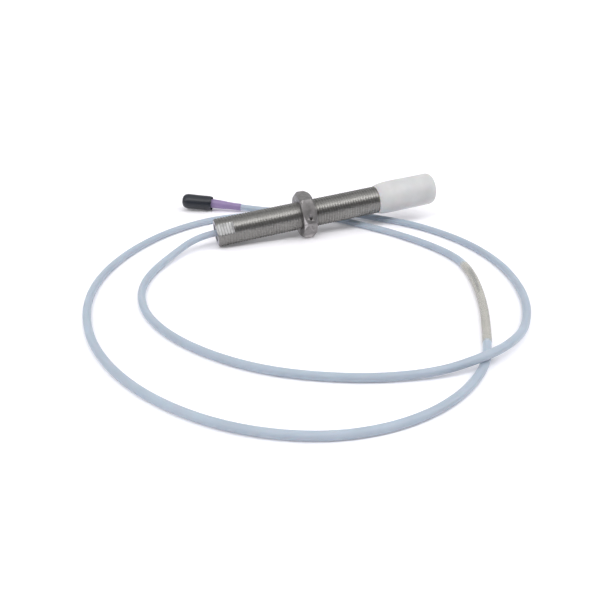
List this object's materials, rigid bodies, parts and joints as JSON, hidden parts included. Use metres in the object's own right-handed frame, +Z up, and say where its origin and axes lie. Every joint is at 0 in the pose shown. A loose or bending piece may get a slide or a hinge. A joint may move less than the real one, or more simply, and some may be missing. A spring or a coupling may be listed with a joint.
{
  "type": "proximity probe",
  "caption": "Threaded steel sensor probe with hex lock nut, soft cap on its tip, wrench flats, and a thin looped coaxial cable ending in a capped miniature connector.",
  "frame": {"origin": "on the surface the probe lies on, below the middle of the case, nut and tip cap together", "axes": "+X runs level under the case towards its tip, +Z is up, and the cable's loops lie towards -Y; the case rises towards +X by about 5 degrees, as it lies on its rear rim and its nut"},
  "size_m": [0.1705, 0.1858, 0.0221],
  "materials": {
    "stainless": "brushed stainless steel with a fine thread",
    "nut_steel": "machined stainless steel",
    "white_cap": "matt soft white plastic",
    "tip_plastic": "glass-filled plastic, fine matt",
    "copper": "bare copper",
    "tinned": "tinned copper",
    "former_plastic": "dark moulded plastic",
    "resin": "dark epoxy resin",
    "bush_plastic": "grey moulded plastic",
    "cable_jacket": "pale blue fluoropolymer, satin",
    "dielectric": "white fluoropolymer",
    "label": "bare tape, pale",
    "clear_sleeve": "clear shrink tube",
    "purple_sleeve": "purple shrink tube",
    "gold": "gold plate",
    "black_cap": "black soft plastic, satin"
  },
  "bodies": {
    "probe": {"probe_case": "stainless", "rear_bush": "bush_plastic", "tip_moulding": "tip_plastic", "sensing_coil": "copper", "coil_former": "former_plastic", "coil_leads": "copper", "cable_jacket_tail": "cable_jacket", "cable_braid": "tinned", "cable_dielectric": "dielectric", "centre_conductor": "copper", "crimp_ring": "tinned", "potting": "resin", "connector_ferrule": "gold", "connector_body": "gold", "retaining_ring": "tinned", "connector_insulator": "dielectric", "contact_pin": "gold", "strain_sleeve": "purple_sleeve", "signal_cable": "cable_jacket", "marker_label": "label", "marker_sleeve": "clear_sleeve"},
    "lock_nut": {"lock_nut": "nut_steel"},
    "tip_cap": {"tip_cap": "white_cap"},
    "connector_cap": {"connector_cap": "black_cap"},
    "coupling_nut": {"coupling_nut": "gold"}
  },
  "joints": [
    {"name": "lock_nut_travel", "type": "slide", "parent": "probe", "child": "lock_nut", "axis": [0.9966, 0, 0.0824], "range_m": [-0.03, 0.011]},
    {"name": "tip_cap_pull", "type": "slide", "parent": "probe", "child": "tip_cap", "axis": [0.9966, 0, 0.0824], "range_m": [0, 0.03]},
    {"name": "connector_cap_pull", "type": "slide", "parent": "probe", "child": "connector_cap", "axis": [-0.9249, 0.3737, 0.0698], "range_m": [0, 0.018]},
    {"name": "coupling_nut_turn", "type": "hinge", "parent": "probe", "child": "coupling_nut", "pos_m": [-0.05294, 0.04348, 0.00418], "axis": [-0.9249, 0.3737, 0.0698], "continuous": true}
  ]
}
